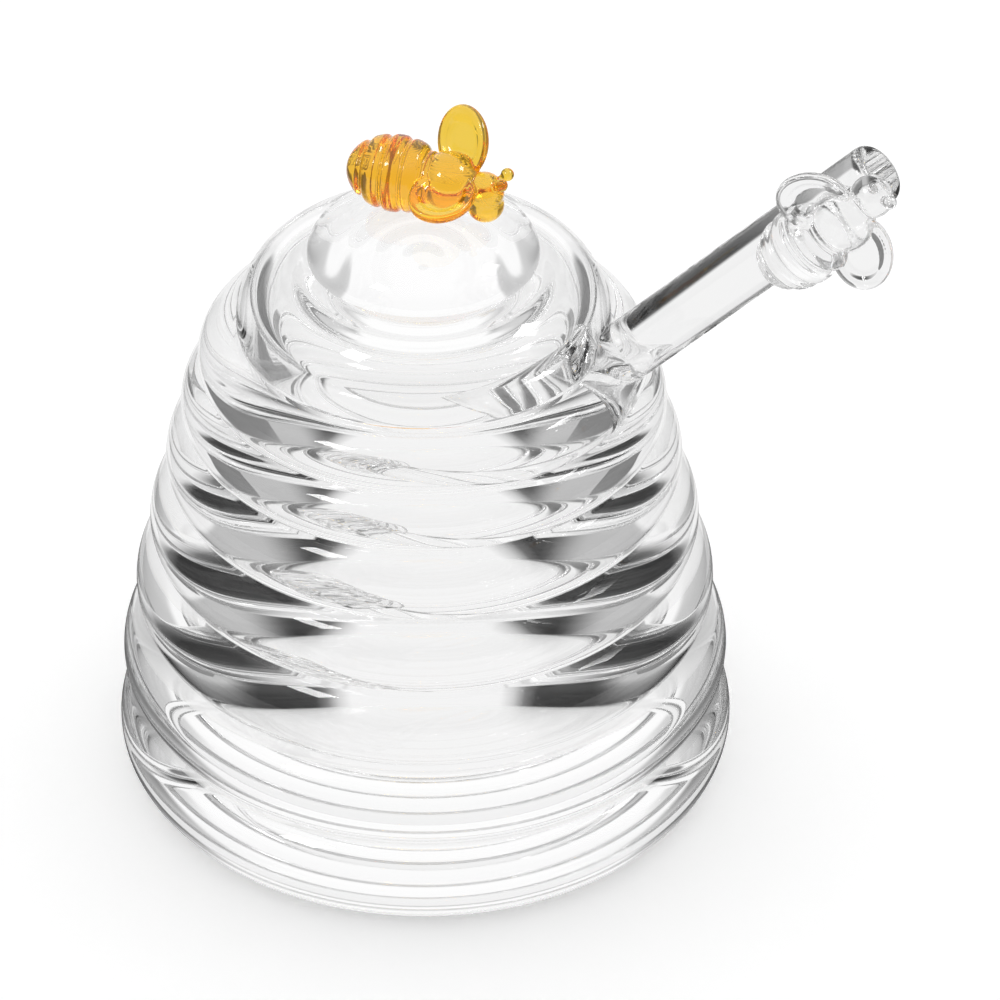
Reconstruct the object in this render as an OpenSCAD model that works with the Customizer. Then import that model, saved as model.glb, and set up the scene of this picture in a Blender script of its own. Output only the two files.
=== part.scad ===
// Honey pot in clear acrylic: a ringed beehive pot, a lift-off lid with a bee on its knob,
// and a dipper that leans out through a notch and carries a second bee.
// Millimetres. Z is up, the origin is the centre of the foot, and the dipper leans towards +X.

/* [Pot] */
// Radius of the flat foot
foot_r = 45.8; // [44:0.1:50]
// Rounding of the foot's outer edge
foot_edge = 0.8; // [0.4:0.1:2]
// Height of each ring, from the foot up
ring_h = [13.1, 13.2, 13.1, 11.4, 11, 8.5, 7.8]; // [6:0.1:16]
// Radius of the wall at the top of each ring, ending with the rim that carries the lid
ring_r = [42.7, 41.4, 40.2, 37.4, 35.4, 33, 28.2]; // [27.5:0.1:46]
// How far each ring swells
ring_swell = [3.9, 5.2, 4, 3.4, 3, 2.6, 3.3]; // [1:0.1:5.5]
// Thickness of the wall at the rim
rim_t = 1.8; // [1.4:0.1:4]
// Thickness of the wall near the floor, at the second groove from the bottom
wall_t = 10.6; // [8:0.1:16]
// Thickness of the pot's floor
floor_t = 16; // [8:0.5:20]
// Rounding where the cavity's wall meets its floor
well_edge = 3; // [2:0.5:6]
// Rounding of the rim's edges and of the lid's lower edge
edge = 0.7; // [0.3:0.1:1.2]

/* [Lid] */
// Height of the upright band round the lid
band_h = 1.4; // [1:0.1:4]
// Radius of the lid's rounded shoulder
shoulder = 11.6; // [9:0.1:13]
// Radius of the knob
knob_r = 17.4; // [14:0.1:19]
// Height of the knob above the crease round its foot
knob_h = 7.9; // [5:0.1:10]
// Depth of the locating ring that drops into the mouth
plug_h = 5; // [3:0.1:8]
// Thickness of the locating ring
plug_t = 3; // [2:0.1:4]
// Gap between the locating ring and the mouth
plug_gap = 0.4; // [0.2:0.05:0.8]
// Height of the hollow under the lid, above the pot's rim
hollow_h = 7; // [3:0.1:9]

/* [Dipper] */
// Diameter of the rod
rod_d = 9.3; // [8:0.1:11]
// Angle of the rod above the table
rod_tilt = 46.4; // [44:0.1:52]
// Distance of the rod's axis from the pot's axis at the height of the rim
rod_offset = 30.1; // [28.5:0.1:31]
// Length of rod outside the pot, from the height of the rim
reach = 55.9; // [45:0.1:70]
// Rounding of the rod's outer end
rod_round = 1.6; // [0.5:0.1:3]
// Clearance of the rod in the notch
notch_gap = 0.25; // [0.15:0.05:0.5]
// Diameter of the dipper's head
head_d = 16; // [13:0.1:17]
// Diameter of the head at the bottom of its grooves
core_d = 10; // [9:0.1:11]
// Number of discs on the head
discs = 5; // [3:1:6]
// Distance from disc to disc
disc_pitch = 4.2; // [3.8:0.1:5]
// Thickness of a disc
disc_t = 2.2; // [1.6:0.1:2.6]
// Diameter of the spigot that is glued into the head
spigot_d = 6; // [4:0.1:7]
// Length of the spigot
spigot_l = 12; // [8:0.1:14]
// Clearance of the spigot in its socket
spigot_gap = 0.05; // [0.02:0.01:0.1]
// Gap between the head and the cavity at rest
rest_gap = 0.3; // [0.1:0.05:0.6]

/* [Bees] */
// Length of a bee's abdomen
abdomen_l = 15.4; // [12:0.1:17]
// Radius of the abdomen
abdomen_r = 5.8; // [4.5:0.1:6.5]
// Number of bands on the abdomen
bands = 5; // [3:1:6]
// Radius of the thorax
thorax_r = 4.6; // [3.8:0.1:5.2]
// Distance from the abdomen's middle to the thorax's
thorax_x = 8; // [7:0.1:9]
// Radius of the head
face_r = 3; // [2.4:0.1:3.6]
// Distance from the abdomen's middle to the head's
face_x = 13.4; // [12.5:0.1:14]
// Length of a wing
wing_l = 11; // [9:0.1:13]
// Width of a wing
wing_w = 9.2; // [6:0.1:10]
// Thickness of a wing
wing_t = 1.6; // [1.2:0.1:2.2]
// Width of the raised border round a wing
wing_border = 1.1; // [0.6:0.1:1.6]
// Direction from the rod in which its bee is mounted
bee_side = -92; // [-110:1:-70]
// How far the dipper's bee sits below the rod's end, measured to its thorax
bee_back = 4; // [0:0.5:8]

/* [Hidden] */
$fn = 64;
arc_steps = 10;
clear_acrylic = [0.93, 0.96, 0.97, 0.45];
clear_detail = [0.85, 0.9, 0.92, 0.7];
amber = [0.85, 0.55, 0.08];

// Heights of the grooves between the rings
function sum_to(v, n) = n == 0 ? 0 : v[n - 1] + sum_to(v, n - 1);
function groove_z(i) = sum_to(ring_h, i);
rings = len(ring_h);
rim_z = groove_z(rings);
rim_r = ring_r[rings - 1];

// Cavity, which widens from the mouth to the floor
mouth_r = rim_r - rim_t;
well_r = ring_r[1] - wall_t;

// Lid
plug_r = mouth_r - plug_gap;
hollow_r = plug_r - plug_t;
band_z = rim_z + band_h;
shoulder_r = rim_r - shoulder;
crease_turn = acos((knob_r - shoulder_r) / shoulder);
crease_z = band_z + shoulder * sin(crease_turn);
knob_z = crease_z + knob_h;

// Dipper
rod_r = rod_d / 2;
notch_r = rod_r + notch_gap;
head_r = head_d / 2;
head_l = discs * disc_pitch + head_r / 2;
// The head's lowest end just clears the cavity's floor, or its wall if that comes first
tip_z = floor_t + rest_gap + norm([head_r * cos(rod_tilt), head_r / 2 * sin(rod_tilt)]);
tip_x = -well_r + rest_gap + head_r;
tip_s = max((tip_z - rim_z) / sin(rod_tilt), (tip_x - rod_offset) / cos(rod_tilt));
head_top = tip_s - head_r / 2 + head_l;
// Long enough to cut through anything
far = 60;
// How much of a bee's belly is cut away where it is glued
belly_cut = 0.6;

// Points of an arc from p to q that swells by s to the right of the way from p to q
function arc(p, q, s) = let(
    c = norm(q - p),
    rad = (c * c / 4 + s * s) / (2 * s),
    side = [q[1] - p[1], p[0] - q[0]] / c,
    mid = (p + q) / 2 - side * (rad - s),
    from = atan2(p[1] - mid[1], p[0] - mid[0]),
    turn = 2 * asin(c / 2 / rad)
) [for (k = [0:arc_steps]) mid + rad * [cos(from + turn * k / arc_steps), sin(from + turn * k / arc_steps)]];

// Points of an elliptic arc about a centre, from one angle to another
function bend(x, y, rx, ry, from, to) =
    [for (k = [0:arc_steps]) let(a = from + (to - from) * k / arc_steps) [x + rx * cos(a), y + ry * sin(a)]];

// Outline of an oval
function oval(l, w) = [for (a = [0:15:345]) [l / 2 * cos(a), w / 2 * sin(a)]];

// Places what is drawn along Z on the rod's axis, with its zero at the height of the rim
module on_rod() {
    translate([rod_offset, 0, rim_z]) rotate([0, 90 - rod_tilt, 0]) children();
}

// The rod's path, opened upwards (side = -1) or downwards (side = 1)
module notch(side) {
    on_rod() {
        translate([0, 0, -far / 2]) cylinder(h = far, r = notch_r);
        translate([side * far / 2, 0, 0]) cube([far, 2 * notch_r, far], center = true);
    }
}

// Outline of one ring, from its lower groove to its upper one
function ring(i) = arc(
    i == 0 ? [foot_r, foot_edge] : [ring_r[i - 1], groove_z(i)],
    [ring_r[i], groove_z(i + 1)],
    ring_swell[i]
);

module pot_profile() {
    polygon(concat(
        [[0, 0]],
        bend(foot_r - foot_edge, foot_edge, foot_edge, foot_edge, -90, 0),
        [for (i = [0:rings - 1]) each ring(i)],
        bend(mouth_r + edge, rim_z - edge, edge, edge, 90, 180),
        [[mouth_r, rim_z - plug_h - edge]],
        bend(well_r - well_edge, floor_t + well_edge, well_edge, well_edge, 0, -90),
        [[0, floor_t]]
    ));
}

module pot() {
    color(clear_acrylic) difference() {
        rotate_extrude($fn = 128) pot_profile();
        notch(-1);
    }
}

// Side view of the lid, from the locating ring round to the top of the hollow
module lid_profile() {
    polygon(concat(
        [[hollow_r, rim_z - plug_h], [plug_r - edge, rim_z - plug_h], [plug_r, rim_z - plug_h + edge]],
        [[plug_r, rim_z]],
        bend(rim_r - edge, rim_z + edge, edge, edge, -90, 0),
        bend(shoulder_r, band_z, shoulder, shoulder, 0, crease_turn),
        bend(0, crease_z, knob_r, knob_h, 0, 90),
        [[0, rim_z + hollow_h]],
        bend(hollow_r - edge, rim_z + hollow_h - edge, edge, edge, 90, 0)
    ));
}

module lid() {
    color(clear_acrylic) difference() {
        rotate_extrude($fn = 128) lid_profile();
        notch(1);
    }
}

// A bee along X that looks towards +X, with the middle of its abdomen at the origin.
// near and far turn the wings on its two sides: backwards, upwards, and about their length.
module bee(near, far) {
    $fn = 32;
    abdomen();
    translate([thorax_x, 0, 0]) sphere(r = thorax_r);
    translate([face_x, 0, -face_r / 4]) face();
    translate([thorax_x + thorax_r / 2, -thorax_r / 3, thorax_r / 3]) wing(near, -1);
    translate([thorax_x + thorax_r / 2, thorax_r / 3, thorax_r / 3]) wing(far, 1);
}

module abdomen() {
    band = abdomen_l / bands;
    rotate([0, 90, 0]) rotate_extrude() difference() {
        polygon([for (a = [-90:10:90]) [abdomen_r * cos(a), abdomen_l / 2 * sin(a)]]);
        for (k = [1:bands - 1]) let(x = (k - bands / 2) * band)
            translate([abdomen_r * sqrt(1 - pow(2 * x / abdomen_l, 2)) + 0.2, x]) circle(d = 1.2, $fn = 24);
    }
}

module face() {
    sphere(r = face_r);
    for (side = [-1, 1]) rotate([side * -30, 45, 0]) {
        cylinder(h = face_r + 1.4, d = 1.2, $fn = 24);
        translate([0, 0, face_r + 1.4]) sphere(d = 2, $fn = 32);
    }
}

// An oval wing with a raised border, rooted at its rim
module wing(turn, side) {
    rotate([0, 0, side * turn[0]]) rotate([0, -turn[1], 0]) rotate([side * turn[2], 0, 0])
        translate([wing_l / 2 - wing_border, 0, -wing_t / 2]) difference() {
            linear_extrude(wing_t) polygon(oval(wing_l, wing_w));
            translate([0, 0, wing_t / 2]) linear_extrude(wing_t)
                polygon(oval(wing_l - 2 * wing_border, wing_w - 2 * wing_border));
        }
}

// The lid's bee stands on the knob, one wing spread low and the other raised
module lid_bee() {
    color(amber) translate([-thorax_x / 2, 0, knob_z]) difference() {
        translate([0, 0, abdomen_r - belly_cut]) bee([112, -8, 10], [118, 42, 8]);
        translate([0, 0, -far / 2]) cube(far, center = true);
    }
}

module dipper_rod() {
    color(clear_acrylic) on_rod() rotate_extrude() polygon(concat(
        [[0, head_top - spigot_l], [spigot_d / 2, head_top - spigot_l], [spigot_d / 2, head_top]],
        [[rod_r, head_top]],
        bend(rod_r - rod_round, reach - rod_round, rod_round, rod_round, 0, 90),
        [[0, reach]]
    ));
}

module dipper_head() {
    color(clear_detail) on_rod() difference() {
        union() {
            translate([0, 0, tip_s]) rotate_extrude() polygon(concat(
                [[0, -head_r / 2]], bend(0, 0, head_r, head_r / 2, -90, 0), [[0, 0]]));
            translate([0, 0, tip_s - 0.1]) cylinder(h = head_top - tip_s + 0.1, d = core_d);
            for (k = [0:discs - 1])
                translate([0, 0, tip_s + k * disc_pitch]) cylinder(h = disc_t, r = head_r);
        }
        translate([0, 0, head_top - spigot_l - spigot_gap]) cylinder(h = far, r = spigot_d / 2 + spigot_gap);
    }
}

// The dipper's bee sits along the rod with its head past the rod's end
module dipper_bee() {
    color(clear_detail) on_rod() difference() {
        rotate([0, 0, bee_side]) translate([rod_r + abdomen_r - belly_cut, 0, reach - bee_back - thorax_x])
            rotate([0, 0, 180]) rotate([0, -90, 0]) bee([125, 12, 0], [125, 12, 0]);
        cylinder(h = reach, r = rod_r + spigot_gap);
    }
}

pot();
lid();
lid_bee();
dipper_rod();
dipper_head();
dipper_bee();
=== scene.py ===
"""Clear acrylic honey pot: beehive pot, lift-off lid with an amber bee, dipper with a clear bee."""
import math

import bmesh
import bpy
from mathutils import Matrix, Quaternion, Vector


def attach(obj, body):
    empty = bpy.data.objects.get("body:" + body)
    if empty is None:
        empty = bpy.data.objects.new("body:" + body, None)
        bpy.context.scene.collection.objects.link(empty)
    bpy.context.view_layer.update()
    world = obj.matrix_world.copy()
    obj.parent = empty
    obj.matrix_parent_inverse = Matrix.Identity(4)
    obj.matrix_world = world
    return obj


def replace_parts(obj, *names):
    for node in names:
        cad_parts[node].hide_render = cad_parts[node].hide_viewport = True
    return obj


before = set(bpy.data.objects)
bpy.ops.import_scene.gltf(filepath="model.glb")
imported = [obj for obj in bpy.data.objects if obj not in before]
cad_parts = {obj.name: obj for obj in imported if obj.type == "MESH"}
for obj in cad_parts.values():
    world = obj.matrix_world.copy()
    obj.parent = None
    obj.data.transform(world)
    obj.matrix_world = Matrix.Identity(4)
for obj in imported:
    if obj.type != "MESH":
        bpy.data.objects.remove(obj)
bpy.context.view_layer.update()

MM = 0.001

# Pot and lid, in millimetres, as in the CAD part
FOOT_R, FOOT_EDGE = 45.8, 0.8
RING_H = [13.1, 13.2, 13.1, 11.4, 11, 8.5, 7.8]
RING_R = [42.7, 41.4, 40.2, 37.4, 35.4, 33, 28.2]
RING_SWELL = [3.9, 5.2, 4, 3.4, 3, 2.6, 3.3]
MOUTH_R, WELL_R, FLOOR_T, WELL_EDGE, EDGE = 26.4, 30.8, 16, 3, 0.7
BAND_H, SHOULDER, KNOB_R, KNOB_H = 1.4, 11.6, 17.4, 7.9
PLUG_H, PLUG_T, PLUG_GAP, HOLLOW_H = 5, 3, 0.4, 7

# The hollow's round corner and the shallow ripples of its ceiling
HOLLOW_EDGE, RIPPLE, RIPPLES, RIPPLE_STEPS = 4, 0.12, 6, 8

# Dipper, in millimetres
ROD_R, ROD_TILT, ROD_OFFSET, REACH, ROD_ROUND = 4.65, 46.4, 30.1, 55.9, 1.6
NOTCH_GAP, HEAD_R, CORE_R, DISCS, DISC_PITCH, DISC_T = 0.25, 8, 5, 5, 4.2, 2.2
SPIGOT_R, SPIGOT_L, SPIGOT_GAP, REST_GAP = 3, 12, 0.05, 0.3
CHAMFER, DISC_EDGE = 0.3, 0.4

# Bees, in millimetres: X is forwards, and the middle of the abdomen is the origin
ABDOMEN_L, ABDOMEN_R, BANDS, GROOVE, GROOVE_W, BELLY_CUT = 15.4, 5.8, 5, 0.55, 0.45, 0.6
THORAX_R, THORAX_X, FACE_R, FACE_X, FACE_WIDE = 4.6, 8, 3, 13.4, 1.05
MUZZLE_X, MUZZLE_DROP, MUZZLE = 0.3, 2.2, (0.9, 1, 0.8)
STUB_R, STUB_L, STUB_BALL, STUB_SIDE, STUB_UP = 0.6, 1.4, 1, -30, 45
WING_L, WING_W, WING_T, WING_BORDER = 11, 9.2, 1.6, 1.1
BEE_SIDE, BEE_BACK = -92, 4

# A wing's dished top: its flat part as a share of the half width, its lowest height as a share of the
# half thickness, and its rise as (borders inwards from the edge, share of the half thickness)
WING_FLAT, WING_DISH, WING_RISE = 0.5, -0.1, [(1.6, 0.25), (1.15, 0.75)]

# How a wing is turned backwards, upwards and about its length, in degrees
LOW_WING, RAISED_WING, DIPPER_WING = (112, -8, 10), (118, 46, -48), (125, 12, 0)

# Air left between faces that touch, so that each keeps its own reflection
FILM = 0.06

# Fineness: points round each turned form, the grain and softening of the cast bees, the angle in
# degrees from which an edge stays sharp, and the lengths in metres that count as none
AROUND, AROUND_ROD, AROUND_BEE, AROUND_BALL, AROUND_STUB = 256, 128, 96, 48, 24
GRAIN, SOFTENING, SHARP, SHARP_BEE, MERGED, NO_EDGE = 0.15, 4, 32, 60, 1e-7, 1e-8

# Acrylic
IOR, AMBER_COLOUR, AMBER_DENSITY = 1.49, (1, 0.7, 0.08), 90

# Camera: lens and sensor in millimetres, its place, and how far it looks off the origin and rolls
LENS, SENSOR, CAMERA_AT = 180.26, 36, (192.95, -593.8, 500.1)
LOOK_OFF, ROLL, VIEW_TURN = (-0.014813, -0.045905, -1), -0.309, 18

# Studio: the world's brightest direction, and the (place, grey) at which its ramp starts and ends
BRIGHTEST, WORLD_LOW, WORLD_HIGH = (0, 0.64, 0.77), (0.38, 0.22), (0.7, 1)
PAPER, PAPER_GLOW, PAPER_THROUGH, PAPER_REACH = 0.9, 0.3, 0.9, 4000
LAMPS, LAMP_AIM, LAMP_SIZE, LAMP_WATTS = [(-380, -260, 620), (420, 60, 560)], 90, 150, 1.2
BOUNCES, GLOSSY_BOUNCES = 32, 16

# Cards beside the pot that glow with painted shade, seen only in the acrylic, in millimetres: their
# two extents, the softness of their edges, their two greys of painted shade, and where along the
# first (0) or second (1) extent one grey passes into the other
# Painted floor shadow: dark cards flat on the paper beside the foot, darkest next to the pot
PAINTED_FLOOR_SHADOW = {"u": (39, 150), "v": (-60, 60), "soft": 14,
            "painted_shade": (0.01, 0.5), "along": 0, "fade": (88, 30)}
# Painted shade of dimmer surroundings: grey upright cards at both sides, darker towards the bottom
PAINTED_SIDE_SHADE = {"u": (-20, 240), "v": (-60, 215), "soft": 60,
             "painted_shade": (0.2, 0.65), "along": 1, "fade": (120, 120)}
PAINTED_SIDE_SHADE_X = 125
CARD_GRID = 24


def spin(degrees, axis):
    return Matrix.Rotation(math.radians(degrees), 4, axis)


def shift(x, y, z):
    return Matrix.Translation((x, y, z))


RIM_Z = sum(RING_H)
RIM_R = RING_R[-1]
CREASE = math.acos((KNOB_R - RIM_R + SHOULDER) / SHOULDER)
CREASE_Z = RIM_Z + BAND_H + SHOULDER * math.sin(CREASE)
KNOB_Z = CREASE_Z + KNOB_H
ROD_AT = shift(ROD_OFFSET, 0, RIM_Z) @ spin(90 - ROD_TILT, "Y")


# Outlines, as lists of (radius, height)

def arc(p, q, swell, steps=24):
    """Points of an arc from p to q that swells to the right of the way."""
    chord = math.dist(p, q)
    radius = (chord * chord / 4 + swell * swell) / (2 * swell)
    side = ((q[1] - p[1]) / chord, (p[0] - q[0]) / chord)
    mid = [(p[i] + q[i]) / 2 - side[i] * (radius - swell) for i in (0, 1)]
    start = math.atan2(p[1] - mid[1], p[0] - mid[0])
    turn = 2 * math.asin(chord / 2 / radius)
    angles = [start + turn * k / steps for k in range(steps + 1)]
    return [(mid[0] + radius * math.cos(a), mid[1] + radius * math.sin(a)) for a in angles]


def bend(x, y, rx, ry, start, end, steps=12):
    """Points of an elliptic arc about a centre, from one angle to another."""
    angles = [math.radians(start + (end - start) * k / steps) for k in range(steps + 1)]
    return [(x + rx * math.cos(a), y + ry * math.sin(a)) for a in angles]


def pot_outline():
    """From the middle of the foot up over the rings, and down inside to the middle of the floor."""
    points = [(0, 0)] + bend(FOOT_R - FOOT_EDGE, FOOT_EDGE, FOOT_EDGE, FOOT_EDGE, -90, 0)
    low = (FOOT_R, FOOT_EDGE)
    height = 0
    for ring_h, ring_r, swell in zip(RING_H, RING_R, RING_SWELL):
        height += ring_h
        points += arc(low, (ring_r, height), swell)[1:]
        low = (ring_r, height)
    points += bend(MOUTH_R + EDGE, RIM_Z - EDGE, EDGE, EDGE, 90, 180)
    points.append((MOUTH_R, RIM_Z - PLUG_H - EDGE))
    points += bend(WELL_R - WELL_EDGE, FLOOR_T + WELL_EDGE, WELL_EDGE, WELL_EDGE, 0, -90)
    return points + [(0, FLOOR_T)]


def lid_outline():
    """From the locating ring up over shoulder and knob, and back along the hollow's ceiling."""
    plug_r = MOUTH_R - PLUG_GAP
    hollow_r = plug_r - PLUG_T
    base = RIM_Z + FILM
    points = [(hollow_r, RIM_Z - PLUG_H)]
    points += bend(plug_r - EDGE, RIM_Z - PLUG_H + EDGE, EDGE, EDGE, -90, 0, 6)
    points.append((plug_r, base))
    points += bend(RIM_R - EDGE, base + EDGE, EDGE, EDGE, -90, 0)
    points += bend(RIM_R - SHOULDER, RIM_Z + BAND_H, SHOULDER, SHOULDER, 0, math.degrees(CREASE), 24)
    points += bend(0, CREASE_Z, KNOB_R, KNOB_H, 0, 90, 32)
    rippled, ceiling = hollow_r - HOLLOW_EDGE, RIM_Z + HOLLOW_H
    steps = RIPPLES * RIPPLE_STEPS
    for k in range(steps + 1):
        turn = 2 * math.pi * k / RIPPLE_STEPS
        points.append((rippled * k / steps, ceiling + RIPPLE / 2 * (math.cos(turn) - 1)))
    return points + bend(rippled, ceiling - HOLLOW_EDGE, HOLLOW_EDGE, HOLLOW_EDGE, 90, 0)[1:]


def head_rest():
    """Where the head's lowest disc and its upper end lie along the rod's axis."""
    tilt = math.radians(ROD_TILT)
    down = FLOOR_T + REST_GAP + math.hypot(HEAD_R * math.cos(tilt), HEAD_R / 2 * math.sin(tilt))
    on_floor = (down - RIM_Z) / math.sin(tilt)
    on_wall = (-WELL_R + REST_GAP + HEAD_R - ROD_OFFSET) / math.cos(tilt)
    tip = max(on_floor, on_wall)
    return tip, tip + DISCS * DISC_PITCH


def rod_outline():
    top = head_rest()[1]
    low = top - SPIGOT_L
    shoulder = top + FILM
    points = [(0, low), (SPIGOT_R - CHAMFER, low), (SPIGOT_R, low + CHAMFER)]
    points += [(SPIGOT_R, shoulder), (ROD_R - CHAMFER, shoulder), (ROD_R, shoulder + CHAMFER)]
    points += bend(ROD_R - ROD_ROUND, REACH - ROD_ROUND, ROD_ROUND, ROD_ROUND, 0, 90)
    return points + [(0, REACH)]


def head_outline():
    """From the tip up over the discs, and down the bore for the rod's spigot."""
    tip, top = head_rest()
    bore, rim = SPIGOT_R + SPIGOT_GAP, HEAD_R - DISC_EDGE
    low = top - SPIGOT_L - SPIGOT_GAP
    points = [(0, tip - HEAD_R / 2)] + bend(0, tip, HEAD_R, HEAD_R / 2, -90, 0, 20)[1:]
    for k in range(DISCS):
        z = tip + k * DISC_PITCH
        if k:
            points += [(CORE_R, z)] + bend(rim, z + DISC_EDGE, DISC_EDGE, DISC_EDGE, -90, 0, 6)
        points += bend(rim, z + DISC_T - DISC_EDGE, DISC_EDGE, DISC_EDGE, 0, 90, 6)
        points.append((CORE_R, z + DISC_T))
    return points + [(CORE_R, top), (bore, top), (bore, low), (0, low)]


def abdomen_outline(steps=96):
    """Half an oval with grooves between its bands, along Z."""
    points = []
    for k in range(steps + 1):
        a = math.pi * (k / steps - 0.5)
        z = ABDOMEN_L / 2 * math.sin(a)
        off = min(abs(z - (j - BANDS / 2) * ABDOMEN_L / BANDS) for j in range(1, BANDS))
        groove = GROOVE * math.exp(-(off / GROOVE_W) ** 2)
        points.append((max(0, ABDOMEN_R * math.cos(a) - groove), z))
    return points


def wing_outline():
    """Section of a dished wing with a thick rounded border, from its middle out and back below.
    Its radius is a share of the wing's half width."""
    half, border = WING_T / 2, 2 * WING_BORDER / WING_W
    points = [(0, WING_DISH * half), (WING_FLAT, 0)]
    points += [(1 - inwards * border, up * half) for inwards, up in WING_RISE]
    points += bend(1 - border / 2, 0, border / 2, half, 120, -90, steps=14)
    return points + [(WING_FLAT, -half), (0, -half)]


# Meshes

def link(name, mesh):
    obj = bpy.data.objects.new(name, mesh)
    bpy.context.scene.collection.objects.link(obj)
    return obj


def smooth(mesh, angle=SHARP):
    for face in mesh.polygons:
        face.use_smooth = True
    mesh.set_sharp_from_angle(angle=math.radians(angle))


def face_outwards(mesh, merge):
    """Turns all faces outwards, and first closes a turned form at its poles if merge is set."""
    tidy = bmesh.new()
    tidy.from_mesh(mesh)
    if merge:
        bmesh.ops.remove_doubles(tidy, verts=tidy.verts, dist=MERGED)
        bmesh.ops.dissolve_degenerate(tidy, edges=tidy.edges, dist=NO_EDGE)
    bmesh.ops.recalc_face_normals(tidy, faces=tidy.faces)
    tidy.to_mesh(mesh)
    tidy.free()


def lathe(name, outline, closed=False, around=AROUND, place=None):
    """Turns an outline round Z; place moves the result, and is in millimetres."""
    verts = []
    for j in range(around):
        a = 2 * math.pi * j / around
        verts += [Vector((r * math.cos(a), r * math.sin(a), z)) for r, z in outline]
    if place:
        verts = [place @ v for v in verts]
    n = len(outline)
    faces = []
    for j in range(around):
        k = (j + 1) % around
        for i in range(n if closed else n - 1):
            up = (i + 1) % n
            faces.append((j * n + i, k * n + i, k * n + up, j * n + up))
    mesh = bpy.data.meshes.new(name)
    mesh.from_pydata([v * MM for v in verts], [], faces)
    face_outwards(mesh, merge=True)
    smooth(mesh)
    return link(name, mesh)


def notch_cutter(side, far=30, steps=48):
    """The rod's path, opened upwards (-1) or downwards (1), as one closed outline along the rod."""
    radius = ROD_R + NOTCH_GAP
    turn = [math.radians(90 + 180 * k / steps) for k in range(steps + 1)]
    section = [(-side * radius * math.cos(a), radius * math.sin(a)) for a in turn]
    section = [(side * far, radius)] + section + [(side * far, -radius)]
    n = len(section)
    verts = [ROD_AT @ Vector((x, y, z)) * MM for z in (-far, far) for x, y in section]
    faces = [(i, (i + 1) % n, n + (i + 1) % n, n + i) for i in range(n)]
    faces += [tuple(range(n)), tuple(range(n, 2 * n))]
    mesh = bpy.data.meshes.new("notch")
    mesh.from_pydata(verts, [], faces)
    face_outwards(mesh, merge=False)
    return link("notch", mesh)


def apply_modifiers(obj):
    depsgraph = bpy.context.evaluated_depsgraph_get()
    mesh = bpy.data.meshes.new_from_object(obj.evaluated_get(depsgraph))
    obj.modifiers.clear()
    obj.data = mesh


def cut(obj, cutter):
    """Cuts the cutter out of obj for good."""
    boolean = obj.modifiers.new("cut", "BOOLEAN")
    boolean.object = cutter
    boolean.operation = "DIFFERENCE"
    boolean.solver = "EXACT"
    apply_modifiers(obj)
    bpy.data.objects.remove(cutter)
    smooth(obj.data)


def ball(centre, radii, place):
    """A ball or oval with these radii."""
    at = place @ shift(*centre) @ Matrix.Diagonal((*radii, 1))
    return lathe("ball", bend(0, 0, 1, 1, -90, 90, 32), around=AROUND_BALL, place=at)


def fuse(name, parts):
    """One cast piece from overlapping parts, its inner corners filled."""
    whole = bmesh.new()
    for part in parts:
        whole.from_mesh(part.data)
        bpy.data.objects.remove(part)
    mesh = bpy.data.meshes.new(name)
    whole.to_mesh(mesh)
    whole.free()
    obj = link(name, mesh)
    remesh = obj.modifiers.new("remesh", "REMESH")
    remesh.mode = "VOXEL"
    remesh.voxel_size = GRAIN * MM
    soften = obj.modifiers.new("soften", "SMOOTH")
    soften.factor = 0.5
    soften.iterations = SOFTENING
    apply_modifiers(obj)
    smooth(obj.data, SHARP_BEE)
    return obj


def bee_head(place, muzzle):
    """A bee's head with two ball-ended stubs, and a muzzle that hangs from it if wanted."""
    head_z = -FACE_R / 4
    parts = [ball((FACE_X, 0, head_z), (FACE_R, FACE_R * FACE_WIDE, FACE_R), place)]
    if muzzle:
        centre = (FACE_X + MUZZLE_X, 0, head_z - MUZZLE_DROP)
        parts.append(ball(centre, [FACE_R * share for share in MUZZLE], place))
    reach = FACE_R + STUB_L
    outline = [(0, 0), (STUB_R, 0), (STUB_R, reach), (0, reach)]
    for side in (-1, 1):
        stub = place @ shift(FACE_X, 0, head_z) @ spin(side * STUB_SIDE, "X") @ spin(STUB_UP, "Y")
        parts.append(lathe("stub", outline, around=AROUND_STUB, place=stub))
        parts.append(ball((0, 0, reach), (STUB_BALL,) * 3, stub))
    return parts


def bee_wing(place, side, turns):
    back, up, about = turns
    root = shift(THORAX_X + THORAX_R / 2, side * THORAX_R / 3, THORAX_R / 3)
    turn = spin(side * back, "Z") @ spin(-up, "Y") @ spin(side * about, "X")
    flat = shift(WING_L / 2 - WING_BORDER, 0, 0) @ Matrix.Diagonal((WING_L / 2, WING_W / 2, 1, 1))
    return lathe("wing", wing_outline(), around=AROUND_BEE, place=place @ root @ turn @ flat)


def bee(name, place, near, far, muzzle):
    """A bee; near and far say how its two wings are turned."""
    parts = [lathe("abdomen", abdomen_outline(), around=AROUND_BEE, place=place @ spin(90, "Y"))]
    parts.append(ball((THORAX_X, 0, 0), (THORAX_R,) * 3, place))
    parts += bee_head(place, muzzle)
    parts += [bee_wing(place, -1, near), bee_wing(place, 1, far)]
    return fuse(name, parts)


# Materials

def add(tree, kind, **values):
    """A new shader node with these values, whose names have _ for a space."""
    node = tree.nodes.new("ShaderNode" + kind)
    for name, value in values.items():
        node.inputs[name.replace("_", " ")].default_value = value
    return node


def empty_tree(owner):
    owner.use_nodes = True
    owner.node_tree.nodes.clear()
    return owner.node_tree


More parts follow.
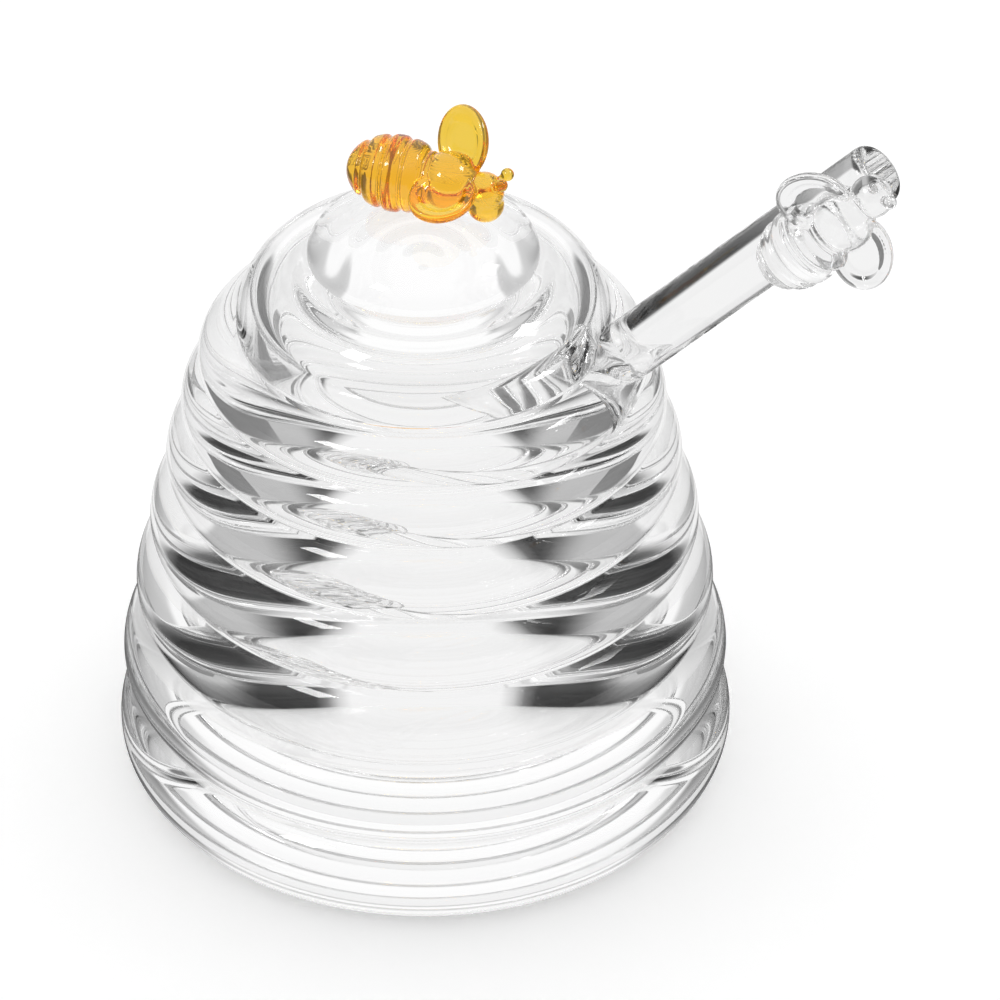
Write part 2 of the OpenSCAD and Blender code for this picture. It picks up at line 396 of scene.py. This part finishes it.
def acrylic(name, colour, density=None):
    """Clear cast acrylic; density is how strongly it takes up what isn't its colour, per metre."""
    mat = bpy.data.materials.new(name)
    tree = empty_tree(mat)
    out = add(tree, "OutputMaterial")
    shader = add(tree, "BsdfPrincipled", Base_Color=(*colour, 1), Roughness=0, Transmission_Weight=1)
    shader.inputs["IOR"].default_value = IOR
    tree.links.new(shader.outputs[0], out.inputs["Surface"])
    if density:
        depth = add(tree, "VolumeAbsorption", Color=(*colour, 1), Density=density)
        tree.links.new(depth.outputs[0], out.inputs["Volume"])
    return mat


# Stage

def across(x, y, z):
    """A world point, in metres, from millimetres across, along and above the camera's line of sight."""
    return spin(VIEW_TURN, "Z") @ Vector((x, y, z)) * MM


def make_camera():
    data = bpy.data.cameras.new("camera")
    data.sensor_width = SENSOR
    data.lens = LENS
    data.clip_start = 0.01
    data.clip_end = 20
    camera = link("camera", data)
    place = Vector(CAMERA_AT) * MM
    turn = (-place).to_track_quat("-Z", "Y") @ Quaternion((0, 0, 1), math.radians(ROLL))
    turn = turn @ Vector(LOOK_OFF).normalized().rotation_difference(Vector((0, 0, -1)))
    camera.rotation_mode = "QUATERNION"
    camera.location = place
    camera.rotation_quaternion = turn
    bpy.context.scene.camera = camera


def make_world():
    """A white studio, brightest overhead and behind the pot, dimmer on the camera's side."""
    world = bpy.data.worlds.new("studio")
    bpy.context.scene.world = world
    tree = empty_tree(world)
    out = add(tree, "OutputWorld")
    glow = add(tree, "Background")
    ramp = add(tree, "ValToRGB")
    span = add(tree, "MapRange", From_Min=-1)
    towards = add(tree, "VectorMath")
    where = add(tree, "TexCoord")
    towards.operation = "DOT_PRODUCT"
    towards.inputs[1].default_value = spin(VIEW_TURN, "Z") @ Vector(BRIGHTEST).normalized()
    for stop, (position, grey) in zip(ramp.color_ramp.elements, (WORLD_LOW, WORLD_HIGH)):
        stop.position = position
        stop.color = (grey, grey, grey, 1)
    tree.links.new(where.outputs["Generated"], towards.inputs[0])
    tree.links.new(towards.outputs["Value"], span.inputs["Value"])
    tree.links.new(span.outputs[0], ramp.inputs[0])
    tree.links.new(ramp.outputs[0], glow.inputs["Color"])
    tree.links.new(glow.outputs[0], out.inputs[0])


def make_lamps():
    """Two small softboxes that only give the acrylic its glints."""
    for number, place in enumerate(LAMPS):
        data = bpy.data.lights.new("softbox", "AREA")
        data.size = LAMP_SIZE * MM
        data.energy = LAMP_WATTS
        lamp = link("softbox_%d" % number, data)
        lamp.location = across(*place)
        aim = across(0, 0, LAMP_AIM) - lamp.location
        lamp.rotation_mode = "QUATERNION"
        lamp.rotation_quaternion = aim.to_track_quat("-Z", "Y")
        lamp.visible_camera = False
        lamp.visible_diffuse = False


def make_floor():
    """White paper. The camera sees it with the object's shadow on it, and the acrylic evenly white."""
    mesh = bpy.data.meshes.new("floor")
    corners = [(-1, -1), (1, -1), (1, 1), (-1, 1)]
    verts = [across(x * PAPER_REACH, y * PAPER_REACH, -2 * FILM) for x, y in corners]
    mesh.from_pydata(verts, [], [(0, 1, 2, 3)])
    floor = link("floor", mesh)
    mat = bpy.data.materials.new("floor")
    tree = empty_tree(mat)
    out = add(tree, "OutputMaterial")
    paper = add(tree, "BsdfDiffuse", Color=(PAPER, PAPER, PAPER, 1))
    glow = add(tree, "Emission", Strength=PAPER_GLOW)
    through = add(tree, "Emission", Strength=PAPER_THROUGH)
    both = add(tree, "AddShader")
    mix = add(tree, "MixShader")
    path = add(tree, "LightPath")
    tree.links.new(paper.outputs[0], both.inputs[0])
    tree.links.new(glow.outputs[0], both.inputs[1])
    tree.links.new(path.outputs["Is Camera Ray"], mix.inputs[0])
    tree.links.new(through.outputs[0], mix.inputs[1])
    tree.links.new(both.outputs[0], mix.inputs[2])
    tree.links.new(mix.outputs[0], out.inputs[0])
    mesh.materials.append(mat)


def passage(value, edge, soft):
    """0 well below the edge, 1 well above it, with a soft passage this wide."""
    t = min(1, max(0, (value - edge) / soft + 0.5))
    return t * t * (3 - 2 * t)


def card_material(name):
    """Glows with the card's greys of painted shade, and fades out where its cover does."""
    mat = bpy.data.materials.new(name)
    tree = empty_tree(mat)
    out = add(tree, "OutputMaterial")
    mix = add(tree, "MixShader")
    glow = add(tree, "Emission")
    clear = add(tree, "BsdfTransparent")
    cover = add(tree, "Attribute")
    cover.attribute_name = "cover"
    # painted shade: each point's glow, from the card's dark grey to its light grey
    painted_shade = add(tree, "Attribute")
    painted_shade.attribute_name = "painted_shade"
    tree.links.new(painted_shade.outputs["Fac"], glow.inputs["Strength"])
    tree.links.new(cover.outputs["Fac"], mix.inputs[0])
    tree.links.new(clear.outputs[0], mix.inputs[1])
    tree.links.new(glow.outputs[0], mix.inputs[2])
    tree.links.new(mix.outputs[0], out.inputs[0])
    return mat


def make_card(name, plan, place):
    """A card with soft edges, out of the camera's sight; place turns its two extents into a point."""
    (u0, u1), (v0, v1), soft = plan["u"], plan["v"], plan["soft"]
    dark, light = plan["painted_shade"]
    verts, cover, painted_shade = [], [], []
    for i in range(CARD_GRID + 1):
        for j in range(CARD_GRID + 1):
            u = u0 - soft / 2 + (u1 - u0 + soft) * i / CARD_GRID
            v = v0 - soft / 2 + (v1 - v0 + soft) * j / CARD_GRID
            verts.append(place(u, v))
            inside = passage(u, u0, soft) * passage(-u, -u1, soft)
            inside *= passage(v, v0, soft) * passage(-v, -v1, soft)
            cover.append(inside)
            # painted shade: the glow passes from the card's dark grey to its light grey
            painted_shade.append(dark + (light - dark) * passage((u, v)[plan["along"]], *plan["fade"]))
    row = CARD_GRID + 1
    starts = [i * row + j for i in range(CARD_GRID) for j in range(CARD_GRID)]
    mesh = bpy.data.meshes.new(name)
    mesh.from_pydata(verts, [], [(s, s + 1, s + row + 1, s + row) for s in starts])
    for label, values in (("cover", cover), ("painted_shade", painted_shade)):
        mesh.attributes.new(label, "FLOAT", "POINT").data.foreach_set("value", values)
    mesh.materials.append(card_material(name))
    card = link(name, mesh)
    card.visible_camera = False
    card.visible_diffuse = False
    card.visible_shadow = False


def make_cards():
    """Painted shade seen only in the acrylic, at both sides of the pot: dark cards flat on the paper for
    the floor's shadow beside the foot, and grey upright ones, darker towards the bottom, for dimmer
    surroundings.
    """
    for side in (-1, 1):
        # painted floor shadow, flat on the paper beside the foot
        make_card("painted_floor_shadow", PAINTED_FLOOR_SHADOW, lambda u, v: across(side * u, v, -FILM))
        # painted shade of dimmer surroundings, upright at the sides and darker towards the bottom
        make_card("painted_side_shade", PAINTED_SIDE_SHADE, lambda u, v: across(side * PAINTED_SIDE_SHADE_X, u, v))


# Pieces

def make_pot():
    pot = lathe("pot_glass", pot_outline())
    cut(pot, notch_cutter(-1))
    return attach(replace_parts(pot, "pot"), "pot")


def make_lid():
    lid = lathe("lid_glass", lid_outline(), closed=True)
    cut(lid, notch_cutter(1))
    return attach(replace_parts(lid, "lid"), "lid")


def make_rod():
    rod = lathe("rod", rod_outline(), around=AROUND_ROD, place=ROD_AT)
    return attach(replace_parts(rod, "dipper_rod"), "dipper")


def make_head():
    head = lathe("head", head_outline(), around=AROUND_ROD, place=ROD_AT)
    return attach(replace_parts(head, "dipper_head"), "dipper")


def make_dipper_bee():
    """The clear bee on the rod's side, cut to the rod's surface."""
    side = ROD_AT @ spin(BEE_SIDE, "Z")
    middle = shift(ROD_R + ABDOMEN_R - BELLY_CUT, 0, REACH - BEE_BACK - THORAX_X)
    place = side @ middle @ spin(180, "Z") @ spin(-90, "Y")
    clear_bee = bee("clear_bee", place, DIPPER_WING, DIPPER_WING, muzzle=False)
    reach, radius = REACH + FILM, ROD_R + FILM
    core = [(0, 0), (radius, 0), (radius, REACH - ROD_ROUND), (radius - ROD_ROUND, reach), (0, reach)]
    cut(clear_bee, lathe("core", core, around=AROUND_ROD, place=ROD_AT))
    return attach(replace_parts(clear_bee, "dipper_bee"), "dipper")


def make_lid_bee():
    """The amber bee on the knob, cut to the knob's surface."""
    place = shift(-THORAX_X / 2, 0, KNOB_Z + ABDOMEN_R - BELLY_CUT)
    amber_bee = bee("amber_bee", place, LOW_WING, RAISED_WING, muzzle=True)
    cut(amber_bee, ball((0, 0, 0), (KNOB_R + FILM, KNOB_R + FILM, KNOB_H + FILM), shift(0, 0, CREASE_Z)))
    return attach(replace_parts(amber_bee, "lid_bee"), "lid")


CLEAR = acrylic("clear", (1, 1, 1))
AMBER = acrylic("amber", AMBER_COLOUR, AMBER_DENSITY)
make_camera()
make_world()
make_floor()
make_cards()
make_lamps()
for piece in (make_pot(), make_lid(), make_rod(), make_head(), make_dipper_bee()):
    piece.data.materials.append(CLEAR)
amber_bee = make_lid_bee()
amber_bee.data.materials.append(AMBER)

scene = bpy.context.scene
scene.view_settings.view_transform = "Standard"
scene.cycles.max_bounces = BOUNCES
scene.cycles.transmission_bounces = BOUNCES
scene.cycles.glossy_bounces = GLOSSY_BOUNCES
